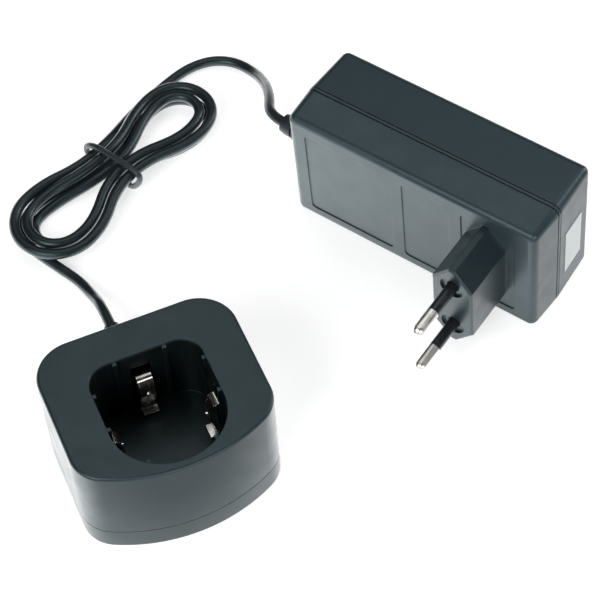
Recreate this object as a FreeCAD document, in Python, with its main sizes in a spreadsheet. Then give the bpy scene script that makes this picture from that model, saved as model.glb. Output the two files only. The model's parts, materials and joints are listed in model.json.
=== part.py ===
import FreeCAD, Part
import Sketcher
import math
import os

# Battery charger: a cradle with an open socket, a mains adapter and the cord between them.
# The origin is the middle of the cradle's underside, +Z is up and +Y is the side that the cord leaves.
# The adapter is built in its own frame: X along its length, Z along its height, its plug towards -Y.

os.makedirs("parts", exist_ok=True)
doc = FreeCAD.newDocument("battery_charger")
V = FreeCAD.Vector

SIZES = {
    "fit_gap": 0.2,
    "seam_gap": 0.25,
    # cradle
    "cradle_width": 59.6,
    "cradle_front": 26.7,
    "cradle_back": 26.7,
    "cradle_height": 35.5,
    "base_height": 8.0,
    "cradle_wall": 2.0,
    "base_floor": 1.8,
    "front_radius": 52.0,
    "front_corner": 10.5,
    "back_corner": 12.0,
    "top_rounding": 1.0,
    "base_rounding": 1.2,
    "base_lip": 1.4,
    "lip_clearance": 0.4,
    # socket
    "socket_width": 33.8,
    "socket_front": 24.3,
    "socket_back": 14.6,
    "socket_front_radius": 18.5,
    "socket_front_corner": 16.0,
    "socket_back_corner": 7.3,
    "socket_wall": 1.6,
    "socket_floor": 9.8,
    "socket_floor_thickness": 1.5,
    "rib_width": 1.2,
    "rib_depth": 1.1,
    "rib_drop": 0.7,
    "rear_rib_x": 7.5,
    "side_rib_y": 6.0,
    "front_rib_x": 10.0,
    "front_rib_y": 20.8,
    "rib_root": 1.1,
    "slot_width": 6.4,
    "slot_top": 29.0,
    # spring contacts
    "leaf_thickness": 0.4,
    "leaf_width": 4.6,
    "leaf_top": 26.0,
    "leaf_reach": 4.2,
    "leaf_bow": 1.3,
    "leaf_hook": 10.8,
    "leaf_set_back": 0.9,
    "side_contact_y": -2.5,
    # screws
    "boss_radius": 3.0,
    "screw_radius": 1.35,
    "screw_length": 15.0,
    "screw_head_radius": 2.5,
    "screw_head_height": 1.5,
    "screw_recess": 0.4,
    "boss_inset": 7.0,
    "boss_front_y": -10.5,
    "boss_back_y": 15.8,
    # cradle board
    "board_thickness": 1.2,
    "board_lift": 1.2,
    "board_gap": 0.8,
    "cradle_board_front": 17.0,
    "cradle_board_back": 22.8,
    # cord
    "cord_diameter": 3.4,
    "relief_length": 19.5,
    "relief_root_radius": 3.4,
    "relief_tip_radius": 2.4,
    "relief_flange_radius": 4.2,
    "relief_flange": 1.6,
    "adapter_relief_length": 12.0,
    "adapter_relief_root_radius": 4.2,
    "adapter_relief_tip_radius": 3.0,
    "adapter_flange_radius": 5.0,
    # adapter shells
    "adapter_length": 87.8,
    "front_depth": 13.3,
    "back_depth": 18.0,
    "adapter_height": 47.0,
    "adapter_draft": 3.0,
    "adapter_wall": 2.0,
    "adapter_corner": 3.0,
    "adapter_rounding": 2.4,
    "panel_depth": 0.3,
    "panel_bottom": 5.4,
    "panel_top": 6.4,
    "panel_corner": 1.4,
    "left_panel": 6.6,
    "left_panel_width": 30.4,
    "middle_panel": 41.2,
    "middle_panel_width": 16.4,
    "plug_panel_left": 8.5,
    "plug_panel_width": 18.5,
    "seam_line_back": 1.1,
    "seam_line_depth": 0.35,
    "seam_line_width": 0.4,
    "tongue_height": 1.2,
    "tongue_width": 0.8,
    # plug
    "plug_x": 70.4,
    "plug_z": 22.6,
    "plug_length": 18.2,
    "plug_width": 13.7,
    "plug_height": 35.3,
    "plug_straight": 21.0,
    "plug_tip_flat": 2.0,
    "plug_rounding": 0.8,
    "pin_pitch": 18.6,
    "pin_length": 19.0,
    "pin_radius": 2.0,
    "sleeve_length": 10.0,
    "sleeve_neck_radius": 1.4,
    "sleeve_radius": 1.8,
    "pin_recess_radius": 3.9,
    "pin_recess_depth": 0.8,
    "pin_inside": 1.2,
    # rating plate
    "sticker_width": 9.6,
    "sticker_height": 19.0,
    "sticker_bottom": 11.0,
    "sticker_from_seam": 3.2,
    # adapter inside
    "cord_level": 20.5,
    "main_board_front": 6.6,
    "main_board_thickness": 1.6,
    "main_board_margin": 7.0,
    "main_board_bottom": 5.2,
    "post_radius": 2.2,
    "fuse_radius": 2.2,
    "fuse_length": 9.0,
    "bridge_width": 5.0,
    "bridge_depth": 6.0,
    "bridge_height": 8.0,
    "line_choke_radius": 4.5,
    "line_choke_depth": 10.0,
    "bulk_radius": 5.0,
    "bulk_depth": 16.0,
    "sink_thickness": 1.5,
    "sink_depth": 14.0,
    "switch_sink_height": 20.0,
    "output_sink_height": 16.0,
    "transistor_thickness": 4.5,
    "transistor_depth": 12.0,
    "transistor_width": 10.0,
    "opto_width": 6.0,
    "opto_depth": 3.5,
    "opto_height": 4.6,
    "ceramic_radius": 3.6,
    "ceramic_thickness": 3.0,
    "output_can_radius": 4.0,
    "output_can_depth": 12.0,
    "output_choke_depth": 9.0,
    "core_width": 17.0,
    "core_depth": 13.0,
    "core_height": 15.0,
    "core_leg": 3.0,
    "core_post": 5.0,
    "core_lift": 3.2,
    "bobbin_wall": 0.9,
    "bobbin_flange": 0.8,
    "winding_depth": 1.4,
    # adapter place beside the cradle
    "adapter_x": 81.6,
    "adapter_y": 79.1,
    "adapter_yaw": -57.8,
    # hank of cord
    "hank_x": 22.8,
    "hank_y": 106.2,
    "hank_yaw": 27.0,
    "hank_length": 84.0,
    "hank_pitch": 4.1,
    "hank_layer": 3.85,
    "hank_waist": 1.0,
    "hank_inner": 5.8,
    "tie_radius": 1.0,
}

sheet = doc.addObject("Spreadsheet::Sheet", "sizes")
for line, (alias, number) in enumerate(SIZES.items(), 1):
    sheet.set(f"A{line}", alias)
    sheet.set(f"B{line}", str(number))
    sheet.setAlias(f"B{line}", alias)
doc.recompute()


class Size:
    """A length of the sheet, or one worked out from several: its number and its expression."""

    def __init__(self, number, text):
        self.number = float(number)
        self.text = text

    def mix(self, other, sign, number, swap=False):
        other_text = other.text if isinstance(other, Size) else repr(float(other))
        pair = (other_text, self.text) if swap else (self.text, other_text)
        return Size(number, f"({pair[0]} {sign} {pair[1]})")

    def __add__(self, other):
        return self.mix(other, "+", self.number + value(other))

    def __radd__(self, other):
        return self.mix(other, "+", value(other) + self.number, True)

    def __sub__(self, other):
        return self.mix(other, "-", self.number - value(other))

    def __rsub__(self, other):
        return self.mix(other, "-", value(other) - self.number, True)

    def __mul__(self, other):
        return self.mix(other, "*", self.number * value(other))

    def __rmul__(self, other):
        return self.mix(other, "*", value(other) * self.number, True)

    def __truediv__(self, other):
        return self.mix(other, "/", self.number / value(other))

    def __neg__(self):
        return self * -1.0


def value(size):
    return size.number if isinstance(size, Size) else float(size)


def text(size):
    return size.text if isinstance(size, Size) else repr(float(size))


def S(alias):
    return Size(sheet.get(alias), f"sizes.{alias}")


def N(alias):
    return float(sheet.get(alias))


def bind(thing, prop, size):
    thing.setExpression(prop, text(size))


# Where the adapter stands: turned about Z and lying on the drafted underside of its front shell.
ADAPTER = FreeCAD.Placement(
    V(N("adapter_x"), N("adapter_y"), 0), FreeCAD.Rotation(V(0, 0, 1), N("adapter_yaw"))
) * FreeCAD.Placement(V(0, 0, 0), FreeCAD.Rotation(V(1, 0, 0), N("adapter_draft")))

nodes = []


def node(thing, name, place=None):
    thing.Label = name
    if place is not None:
        thing.Placement = place * thing.Placement
    nodes.append(thing)
    return thing


# Sketches


def body(name):
    made = doc.addObject("PartDesign::Body", name + "_body")
    return made


def sketch(owner, name, role, lift=0.0):
    made = owner.newObject("Sketcher::SketchObject", name)
    plane = [feature for feature in owner.Origin.OriginFeatures if feature.Role == role][0]
    made.AttachmentSupport = [(plane, "")]
    made.MapMode = "FlatFace"
    bind(made, "AttachmentOffset.Base.z", lift)
    return made


def hold(drawing, kind, geometry, point, size):
    """Ties one coordinate of a point to a size, measured from the sketch's origin."""
    if abs(value(size)) < 1e-9:
        axis = -2 if kind == "DistanceX" else -1
        drawing.addConstraint(Sketcher.Constraint("PointOnObject", geometry, point, axis))
        return
    index = drawing.addConstraint(
        Sketcher.Constraint(kind, -1, 1, geometry, point, value(size))
    )
    drawing.setExpression(f"Constraints[{index}]", text(size))


def radius(drawing, geometry, size):
    index = drawing.addConstraint(Sketcher.Constraint("Radius", geometry, value(size)))
    drawing.setExpression(f"Constraints[{index}]", text(size))


def circle(drawing, x, y, size):
    index = drawing.addGeometry(Part.Circle(V(value(x), value(y), 0), V(0, 0, 1), value(size)))
    radius(drawing, index, size)
    hold(drawing, "DistanceX", index, 3, x)
    hold(drawing, "DistanceY", index, 3, y)


def polygon(drawing, points):
    corners = [V(value(x), value(y), 0) for x, y in points]
    count = len(corners)
    first = drawing.GeometryCount
    for k in range(count):
        drawing.addGeometry(Part.LineSegment(corners[k], corners[(k + 1) % count]))
    for k in range(count):
        following = first + (k + 1) % count
        drawing.addConstraint(Sketcher.Constraint("Coincident", first + k, 2, following, 1))
    for k, (x, y) in enumerate(points):
        hold(drawing, "DistanceX", first + k, 1, x)
        hold(drawing, "DistanceY", first + k, 1, y)


def rectangle(drawing, x0, x1, y0, y1):
    polygon(drawing, [(x0, y0), (x1, y0), (x1, y1), (x0, y1)])


def d_outline(drawing, half, front, back, front_radius, front_corner, back_corner):
    """A flat-backed outline with a bowed front, mirrored about the sketch's Y axis."""
    a, b, c = value(half), value(front), value(back)
    big, small, rear = value(front_radius), value(front_corner), value(back_corner)
    middle = V(0, big - b, 0)
    corner_x = a - small
    corner_y = middle.y - math.sqrt((big - small) ** 2 - corner_x ** 2)
    turn = math.atan2(corner_y - middle.y, corner_x)
    up = V(0, 0, 1)
    left = -math.pi - turn
    arcs = [
        Part.ArcOfCircle(Part.Circle(middle, up, big), left, turn),
        Part.ArcOfCircle(Part.Circle(V(corner_x, corner_y, 0), up, small), turn, 0),
        Part.LineSegment(V(a, corner_y, 0), V(a, c - rear, 0)),
        Part.ArcOfCircle(Part.Circle(V(a - rear, c - rear, 0), up, rear), 0, math.pi / 2),
        Part.LineSegment(V(a - rear, c, 0), V(rear - a, c, 0)),
        Part.ArcOfCircle(Part.Circle(V(rear - a, c - rear, 0), up, rear), math.pi / 2, math.pi),
        Part.LineSegment(V(-a, c - rear, 0), V(-a, corner_y, 0)),
        Part.ArcOfCircle(
            Part.Circle(V(-corner_x, corner_y, 0), up, small), math.pi, math.pi * 2 + left
        ),
    ]
    first = drawing.GeometryCount
    for shape in arcs:
        drawing.addGeometry(shape)
    for k in range(8):
        following = first + (k + 1) % 8
        drawing.addConstraint(Sketcher.Constraint("Tangent", first + k, 2, following, 1))
    drawing.addConstraint(Sketcher.Constraint("Vertical", first + 2))
    drawing.addConstraint(Sketcher.Constraint("Horizontal", first + 4))
    drawing.addConstraint(Sketcher.Constraint("Vertical", first + 6))
    drawing.addConstraint(Sketcher.Constraint("PointOnObject", first, 3, -2))
    drawing.addConstraint(Sketcher.Constraint("Equal", first + 1, first + 7))
    drawing.addConstraint(Sketcher.Constraint("Equal", first + 3, first + 5))
    radius(drawing, first, front_radius)
    radius(drawing, first + 1, front_corner)
    radius(drawing, first + 3, back_corner)
    hold(drawing, "DistanceX", first + 2, 1, half)
    hold(drawing, "DistanceX", first + 6, 1, -half)
    hold(drawing, "DistanceY", first + 4, 1, back)
    hold(drawing, "DistanceY", first, 3, front_radius - front)


def rounded_box_outline(drawing, x0, x1, y0, y1, corner):
    """A rectangle with four equal round corners."""
    a, b, c, d, r = value(x0), value(x1), value(y0), value(y1), value(corner)
    up = V(0, 0, 1)
    quarter = math.pi / 2
    first = drawing.GeometryCount
    for shape in (
        Part.LineSegment(V(a + r, c, 0), V(b - r, c, 0)),
        Part.ArcOfCircle(Part.Circle(V(b - r, c + r, 0), up, r), -quarter, 0),
        Part.LineSegment(V(b, c + r, 0), V(b, d - r, 0)),
        Part.ArcOfCircle(Part.Circle(V(b - r, d - r, 0), up, r), 0, quarter),
        Part.LineSegment(V(b - r, d, 0), V(a + r, d, 0)),
        Part.ArcOfCircle(Part.Circle(V(a + r, d - r, 0), up, r), quarter, 2 * quarter),
        Part.LineSegment(V(a, d - r, 0), V(a, c + r, 0)),
        Part.ArcOfCircle(Part.Circle(V(a + r, c + r, 0), up, r), 2 * quarter, 3 * quarter),
    ):
        drawing.addGeometry(shape)
    for k in range(8):
        following = first + (k + 1) % 8
        drawing.addConstraint(Sketcher.Constraint("Tangent", first + k, 2, following, 1))
    for k in (0, 4):
        drawing.addConstraint(Sketcher.Constraint("Horizontal", first + k))
    for k in (2, 6):
        drawing.addConstraint(Sketcher.Constraint("Vertical", first + k))
    for k in (3, 5, 7):
        drawing.addConstraint(Sketcher.Constraint("Equal", first + 1, first + k))
    radius(drawing, first + 1, corner)
    hold(drawing, "DistanceY", first, 1, y0)
    hold(drawing, "DistanceX", first + 2, 1, x1)
    hold(drawing, "DistanceY", first + 4, 1, y1)
    hold(drawing, "DistanceX", first + 6, 1, x0)


def pad(owner, drawing, length, reverse=False, taper=0.0):
    made = owner.newObject("PartDesign::Pad", drawing.Name + "_pad")
    made.Profile = drawing
    made.Reversed = reverse
    bind(made, "Length", length)
    if value(taper):
        bind(made, "TaperAngle", taper)
    doc.recompute()
    return made


def pocket(owner, drawing, length, reverse=False, taper=0.0):
    before = owner.Shape.Volume
    made = owner.newObject("PartDesign::Pocket", drawing.Name + "_pocket")
    made.Profile = drawing
    made.Reversed = reverse
    bind(made, "Length", length)
    if value(taper):
        bind(made, "TaperAngle", taper)
    doc.recompute()
    if not owner.Shape.Volume < before - 1e-3:
        raise ValueError(f"{drawing.Name} cuts nothing")
    return made


def round_edges(owner, size, wanted):
    """Rounds the edges of the body for which wanted(edge) holds."""
    base = owner.Tip
    names = [f"Edge{k}" for k, edge in enumerate(base.Shape.Edges, 1) if wanted(edge)]
    if not names:
        raise ValueError("no edge to round")
    made = owner.newObject("PartDesign::Fillet", owner.Name + "_fillet")
    made.Base = (base, names)
    bind(made, "Radius", size)
    doc.recompute()
    return made


def flat_at(edge, axis, place):
    """Whether an edge lies in the plane where the axis has this coordinate."""
    box = edge.BoundBox
    low, high = [(box.XMin, box.XMax), (box.YMin, box.YMax), (box.ZMin, box.ZMax)][axis]
    return abs(low - place) < 1e-4 and abs(high - place) < 1e-4


# Plain pieces


def block(name, x, y, z, length, width, height, place=None):
    """A rectangular piece from its lowest corner."""
    made = doc.addObject("Part::Box", name + "_box")
    bind(made, "Length", length)
    bind(made, "Width", width)
    bind(made, "Height", height)
    made.Placement = FreeCAD.Placement(V(value(x), value(y), value(z)), FreeCAD.Rotation())
    return node(made, name, place)


def drum(name, x, y, z, size, height, axis, place=None, listed=True):
    """A round piece from the middle of its first end, along an axis."""
    made = doc.addObject("Part::Cylinder", name + "_drum")
    bind(made, "Radius", size)
    bind(made, "Height", height)
    turn = FreeCAD.Rotation(V(0, 0, 1), axis)
    made.Placement = FreeCAD.Placement(V(value(x), value(y), value(z)), turn)
    return node(made, name, place) if listed else made


def solid(name, shape, place=None):
    made = doc.addObject("Part::Feature", name + "_solid")
    made.Shape = shape
    return node(made, name, place)


# Cradle

half = S("cradle_width") / 2
wall = S("cradle_wall")
split = S("base_height")
socket_half = S("socket_width") / 2
boss_x = half - S("boss_inset")
BOSSES = [(side * boss_x, y) for side in (-1, 1) for y in (S("boss_front_y"), S("boss_back_y"))]
board_half = boss_x - S("boss_radius") - S("board_gap")
relief_z = split


def cradle_outline(drawing, inset=0.0):
    d_outline(
        drawing,
        half - inset,
        S("cradle_front") - inset,
        S("cradle_back") - inset,
        S("front_radius") - inset,
        S("front_corner") - inset,
        S("back_corner") - inset,
    )


def socket_outline(drawing, grow=0.0):
    d_outline(
        drawing,
        socket_half + grow,
        S("socket_front") + grow,
        S("socket_back") + grow,
        S("socket_front_radius") + grow,
        S("socket_front_corner") + grow,
        S("socket_back_corner") + grow,
    )


def make_housing():
    made = body("cradle_housing")
    bottom = split + S("seam_gap")
    top = S("cradle_height")
    outer = sketch(made, "housing_outline", "XY_Plane", bottom)
    cradle_outline(outer)
    pad(made, outer, top - bottom)
    round_edges(made, S("top_rounding"), lambda edge: flat_at(edge, 2, value(top)))

    hollow = sketch(made, "housing_hollow", "XY_Plane", bottom)
    cradle_outline(hollow, wall)
    pocket(made, hollow, top - bottom - wall, True)

    underside = S("socket_floor") - S("socket_floor_thickness")
    core = sketch(made, "socket_core", "XY_Plane", underside)
    socket_outline(core, S("socket_wall"))
    pad(made, core, top - wall / 2 - underside)

    bosses = sketch(made, "housing_bosses", "XY_Plane", bottom)
    for x, y in BOSSES:
        circle(bosses, x, y, S("boss_radius"))
    pad(made, bosses, top - bottom - wall / 2)

    well = sketch(made, "socket_well", "XY_Plane", S("socket_floor"))
    socket_outline(well)
    pocket(made, well, top - S("socket_floor"), True)

    holes = sketch(made, "housing_pilots", "XY_Plane", bottom)
    for x, y in BOSSES:
        circle(holes, x, y, S("screw_radius") + S("fit_gap") / 4)
    pocket(made, holes, S("screw_length"), True)

    ribs = sketch(made, "socket_ribs", "XY_Plane", S("socket_floor") - 0.2)
    thick, deep = S("rib_width") / 2, S("rib_depth")
    for side in (-1, 1):
        x = side * S("rear_rib_x")
        rectangle(ribs, x - thick, x + thick, S("socket_back") - deep, S("socket_back") + 0.5)
        x0 = side * (socket_half + 0.5)
        x1 = side * (socket_half - deep)
        for level in (-1, 1):
            y = level * S("side_rib_y")
            rectangle(ribs, x0, x1, y - thick, y + thick)
        x = side * S("front_rib_x")
        bow = S("front_rib_y")
        rectangle(ribs, x - thick, x + thick, -bow - S("rib_root"), -bow + deep)
    pad(made, ribs, top - S("socket_floor") - S("rib_drop") + 0.2)

    slots = sketch(made, "contact_slots", "XY_Plane", underside - 0.1)
    wide = S("slot_width") / 2
    outside = S("socket_wall") + 0.2
    rectangle(slots, -wide, wide, S("socket_back") - 0.1, S("socket_back") + outside)
    for side in (-1, 1):
        rectangle(
            slots,
            side * (socket_half + outside),
            side * (socket_half - 0.1),
            S("side_contact_y") - wide,
            S("side_contact_y") + wide,
        )
    pocket(made, slots, S("slot_top") - underside, True)

    notch = sketch(made, "relief_notch", "XZ_Plane", -S("cradle_back") - 1.0)
    circle(notch, 0.0, relief_z, S("relief_root_radius") + S("fit_gap"))
    pocket(made, notch, wall + 2.0, True)
    node(made, "cradle_housing")


def make_base():
    made = body("base_cover")
    outer = sketch(made, "base_outline", "XY_Plane")
    cradle_outline(outer)
    pad(made, outer, split)
    round_edges(made, S("base_rounding"), lambda edge: flat_at(edge, 2, 0))

    hollow = sketch(made, "base_hollow", "XY_Plane", S("base_floor"))
    cradle_outline(hollow, wall)
    pocket(made, hollow, split - S("base_floor"), True)

    lip = sketch(made, "base_lip_ring", "XY_Plane", S("base_floor") - 0.2)
    cradle_outline(lip, wall + S("fit_gap"))
    cradle_outline(lip, wall + S("fit_gap") + S("base_lip"))
    pad(made, lip, split + S("base_lip") - S("base_floor") + 0.2)

    clear = sketch(made, "lip_gap", "XY_Plane", split)
    socket_outline(clear, S("socket_wall") + S("lip_clearance"))
    pocket(made, clear, S("base_lip") + 0.1, True)

    posts = sketch(made, "base_posts", "XY_Plane", S("base_floor") - 0.2)
    for x, y in BOSSES:
        circle(posts, x, y, S("boss_radius"))
    pad(made, posts, split - S("base_floor") + 0.2)

    lifts = sketch(made, "board_posts", "XY_Plane", S("base_floor") - 0.2)
    for x, y in board_posts():
        circle(lifts, x, y, S("post_radius"))
    pad(made, lifts, S("board_lift") + 0.2)

    heads = sketch(made, "screw_heads", "XY_Plane")
    for x, y in BOSSES:
        circle(heads, x, y, S("screw_head_radius") + S("fit_gap"))
    pocket(made, heads, S("screw_recess") + S("screw_head_height") + S("fit_gap"), True)

    holes = sketch(made, "screw_holes", "XY_Plane")
    for x, y in BOSSES:
        circle(holes, x, y, S("screw_radius") + S("fit_gap") / 4)
    pocket(made, holes, split, True)

    notch = sketch(made, "base_relief_notch", "XZ_Plane", -S("cradle_back") - 1.0)
    circle(notch, 0.0, relief_z, S("relief_root_radius") + S("fit_gap"))
    pocket(made, notch, wall + S("base_lip") + 2.2, True)
    seat = sketch(made, "flange_notch", "XZ_Plane", wall - S("cradle_back"))
    circle(seat, 0.0, relief_z, S("relief_flange_radius") + S("fit_gap"))
    pocket(made, seat, S("fit_gap") * 2 + S("base_lip"), True)
    node(made, "base_cover")


def board_posts():
    x = board_half - S("post_radius") - 1.0
    return [(side * x, y) for side in (-1, 1) for y in (-S("cradle_board_front") + 8.0, 9.0)]


def make_screws():
    parts = []
    for x, y in BOSSES:
        base = V(value(x), value(y), N("screw_recess"))
        head = Part.makeCylinder(N("screw_head_radius"), N("screw_head_height"), base)
        shank = Part.makeCylinder(
            N("screw_radius"), N("screw_length"), base + V(0, 0, N("screw_head_height") - 0.1)
        )
        across = Part.makeBox(3.0, 0.7, 0.8, base + V(-1.5, -0.35, 0))
        along = Part.makeBox(0.7, 3.0, 0.8, base + V(-0.35, -1.5, 0))
        parts.append(head.fuse(shank).cut(across.fuse(along)).removeSplitter())
    solid("base_screws", Part.Compound(parts))


def leaf_profile():
    """The bent strip of a contact, in a plane: first coordinate away from the wall, second up."""
    back = -N("leaf_set_back")
    top = N("leaf_top")
    reach = N("leaf_reach")
    foot = N("base_floor") + N("board_lift") + N("board_thickness") + N("fit_gap")
    hook = N("leaf_hook")
    bow = N("leaf_bow")
    return [
        V(back, foot, 0),
        V(back, top - 1.6, 0),
        V(back + 1.2, top, 0),
        V(reach - bow - 0.6, top - 0.5, 0),
        V(reach - bow * 0.4, top - 3.2, 0),
        V(reach, top - 5.9, 0),
        V(reach - bow * 1.2, hook + 3.9, 0),
        V(reach - bow * 2.1, hook + 0.3, 0),
        V(reach + 0.2, hook, 0),
    ]


def route(points, share=0.45):
    """Straight runs joined by tangent arcs, each as large as its two runs allow."""
    edges = []
    radii = []
    start = points[0]
    for k in range(1, len(points) - 1):
        before = points[k] - points[k - 1]
        after = points[k + 1] - points[k]
        shorter = min(before.Length, after.Length)
        before.normalize()
        after.normalize()
        turn = before.getAngle(after)
        reach = share * shorter
        size = reach / math.tan(turn / 2)
        radii.append(size)
        enter = points[k] - before * reach
        leave = points[k] + after * reach
        inward = after - before
        inward.normalize()
        centre = points[k] + inward * (size / math.cos(turn / 2))
        middle = centre - inward * size
        edges.append(Part.LineSegment(start, enter).toShape())
        edges.append(Part.Arc(enter, middle, leave).toShape())
        start = leave
    edges.append(Part.LineSegment(start, points[-1]).toShape())
    return Part.Wire(edges), radii


def tube(points, size, share=0.45):
    """A round tube of radius size along a route."""
    spine, radii = route(points, share)
    away = points[1] - points[0]
    ring = Part.Wire(Part.Circle(points[0], away, size).toShape())
    made = spine.makePipeShell([ring], True, False)
    expected = math.pi * size ** 2 * spine.Length
    return made, spine.Length, radii, made.Volume / expected


def make_contacts():
    line, radii = route(leaf_profile(), 0.4)
    strip = line.makeOffset2D(N("leaf_thickness"), 0, True, True, False)
    face = Part.Face(strip)
    width = N("leaf_width")
    flat = face.extrude(V(0, 0, width))
    flat.translate(V(0, 0, -width / 2))
    mid = leaf_profile()[5]
    dimple = Part.makeSphere(0.7, V(mid.x - 0.2, mid.y, 0))
    leaf = flat.fuse(dimple).removeSplitter()
    # The strip's plane becomes vertical: x stays the way off the wall, y becomes up.
    upright = FreeCAD.Placement(V(0, 0, 0), FreeCAD.Rotation(V(1, 0, 0), 90))
    for name, spot, turn in (
        ("contact_rear", V(0, N("socket_back"), 0), -90),
        ("contact_left", V(-N("socket_width") / 2, N("side_contact_y"), 0), 0),
        ("contact_right", V(N("socket_width") / 2, N("side_contact_y"), 0), 180),
    ):
        made = leaf.copy()
        place = FreeCAD.Placement(spot, FreeCAD.Rotation(V(0, 0, 1), turn)) * upright
        made.Placement = place
        solid(name, made)


def make_cradle_board():
    made = body("cradle_board")
    level = S("base_floor") + S("board_lift")
    flat = sketch(made, "cradle_board_outline", "XY_Plane", level)
    rectangle(flat, -board_half, board_half, -S("cradle_board_front"), S("cradle_board_back"))
    pad(made, flat, S("board_thickness"))
    node(made, "cradle_board")
    top = level + S("board_thickness")
    behind = S("socket_back") + S("socket_wall")
    block("charge_controller", -18.0, behind + 1.5, top, 6.0, 4.9, 1.6)
    block("cradle_inductor", -10.5, behind + 0.9, top, 6.2, 5.6, 3.4)
    drum("cradle_capacitor", 14.0, behind + 4.0, top, 2.6, 8.0, V(0, 0, 1))
    screws = []
    for x, y in board_posts():
        spot = V(value(x), value(y), value(top))
        screws.append(Part.makeCylinder(1.9, 0.9, spot))
    solid("board_screws", Part.Compound(screws))


def boot(flange, wall_size, length, flange_radius, root_radius, tip_radius, ribs):
    """A tapered, ribbed boot about +Y: a flange inside the wall, a neck and the ribs outside."""
    neck = flange + N("fit_gap") + wall_size + 1.0
    end = flange + wall_size + length
    pace = (end - neck - 2.0) / ribs
    steps = [(0, flange_radius), (flange, flange_radius), (flange, root_radius), (neck, root_radius)]
    for k in range(ribs):
        size = root_radius + k / ribs * (tip_radius - root_radius)
        start = neck + k * pace
        ridge = start + pace * 0.35
        steps += [(start, size - 0.5), (ridge, size - 0.5), (ridge, size), (start + pace, size - 0.05)]
    steps += [(end, tip_radius), (end, 0), (0, 0)]
    corners = [V(0, y, r) for y, r in steps]
    outline = Part.makePolygon(corners + [corners[0]])
    return Part.Face(outline).revolve(V(0, 0, 0), V(0, 1, 0), 360), end


def make_cradle_relief():
    """The boot's flange sits behind the back wall; returns how far back its tip reaches."""
    flange = N("relief_flange")
    made, end = boot(
        flange,
        N("cradle_wall"),
        N("relief_length"),
        N("relief_flange_radius"),
        N("relief_root_radius"),
        N("relief_tip_radius"),
        5,
    )
    start = N("cradle_back") - N("cradle_wall") - flange - N("fit_gap") / 2
    made.translate(V(0, start, value(relief_z)))
    solid("cradle_strain_relief", made)
    wires = []
    low = N("base_floor") + N("board_lift") + N("board_thickness")
    for x in (-1.0, 1.0):
        points = [V(x, start, value(relief_z)), V(x, start - 1.6, value(relief_z))]
        points += [V(x, start - 2.4, value(relief_z) - 1.2), V(x, start - 2.4, low)]
        wires.append(tube(points, 0.55)[0])
    solid("cradle_leads", Part.Compound(wires))
    return start + end


make_housing()
make_base()
make_screws()
make_contacts()
make_cradle_board()
cradle_exit_y = make_cradle_relief()

# Adapter

length = S("adapter_length")
height = S("adapter_height")
a_wall = S("adapter_wall")
draft = S("adapter_draft")
relief_height = S("cord_level")


def shell_outline(drawing, inset=0.0):
    corner = S("adapter_corner") - inset * 0.7
    rounded_box_outline(drawing, inset + 0.0, length - inset, inset + 0.0, height - inset, corner)


def make_front_shell():
    made = body("adapter_front_shell")
    seam = S("seam_gap")
    outer = sketch(made, "front_outline", "XZ_Plane", seam)
    shell_outline(outer)
    pad(made, outer, S("front_depth") - seam, False, -draft)
    front = -value(S("front_depth"))
    round_edges(made, S("adapter_rounding"), lambda edge: flat_at(edge, 1, front))

    hollow = sketch(made, "front_hollow", "XZ_Plane", seam)
    shell_outline(hollow, a_wall)
    pocket(made, hollow, S("front_depth") - a_wall - seam, True, -draft)

    line = sketch(made, "seam_line", "XZ_Plane", S("seam_line_back"))
    shell_outline(line, -S("seam_line_depth"))
    shell_outline(line, S("seam_line_depth"))
    pocket(made, line, S("seam_line_width"), True)

    panels = sketch(made, "front_panels", "XZ_Plane", S("front_depth"))
    low, high = S("panel_bottom"), height - S("panel_top")
    corner = S("panel_corner")
    for start, wide in (("left_panel", "left_panel_width"), ("middle_panel", "middle_panel_width")):
        rounded_box_outline(panels, S(start), S(start) + S(wide), low, high, corner)
    start = S("plug_x") - S("plug_panel_left")
    rounded_box_outline(panels, start, start + S("plug_panel_width"), low, high, corner)
    pocket(made, panels, S("panel_depth"))

    plug = sketch(made, "plug_outline", "XZ_Plane", S("front_depth") - a_wall)
    across, straight = S("plug_width") / 2, S("plug_straight") / 2
    tall, flat = S("plug_height") / 2, S("plug_tip_flat") / 2
    x, z = S("plug_x"), S("plug_z")
    polygon(
        plug,
        [
            (x - flat, z - tall),
            (x + flat, z - tall),
            (x + across, z - straight),
            (x + across, z + straight),
            (x + flat, z + tall),
            (x - flat, z + tall),
            (x - across, z + straight),
            (x - across, z - straight),
        ],
    )
    pad(made, plug, S("plug_length") + a_wall)
    tip = -value(S("front_depth") + S("plug_length"))
    round_edges(made, S("plug_rounding"), lambda edge: flat_at(edge, 1, tip))

    recess = sketch(made, "pin_recesses", "XZ_Plane", S("front_depth") + S("plug_length"))
    for side in (-1, 1):
        circle(recess, x, z + side * S("pin_pitch") / 2, S("pin_recess_radius"))
    pocket(made, recess, S("pin_recess_depth"))

    holes = sketch(made, "pin_holes", "XZ_Plane", S("front_depth") + S("plug_length"))
    for side in (-1, 1):
        circle(holes, x, z + side * S("pin_pitch") / 2, S("pin_radius") + S("fit_gap") / 4)
    pocket(made, holes, S("plug_length") + a_wall)

    posts = sketch(made, "board_stand", "XZ_Plane", S("main_board_front"))
    for x, z in main_posts():
        circle(posts, x, z, S("post_radius"))
    pad(made, posts, S("front_depth") - S("main_board_front") - a_wall / 2)

    notch = sketch(made, "front_relief_notch", "YZ_Plane", -1.0)
    circle(notch, 0.0, relief_height, S("adapter_relief_root_radius") + S("fit_gap"))
    pocket(made, notch, a_wall + 1.5, True)
    flange_seat(made, "front_flange_seat")
    node(made, "adapter_front_shell", ADAPTER)


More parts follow.
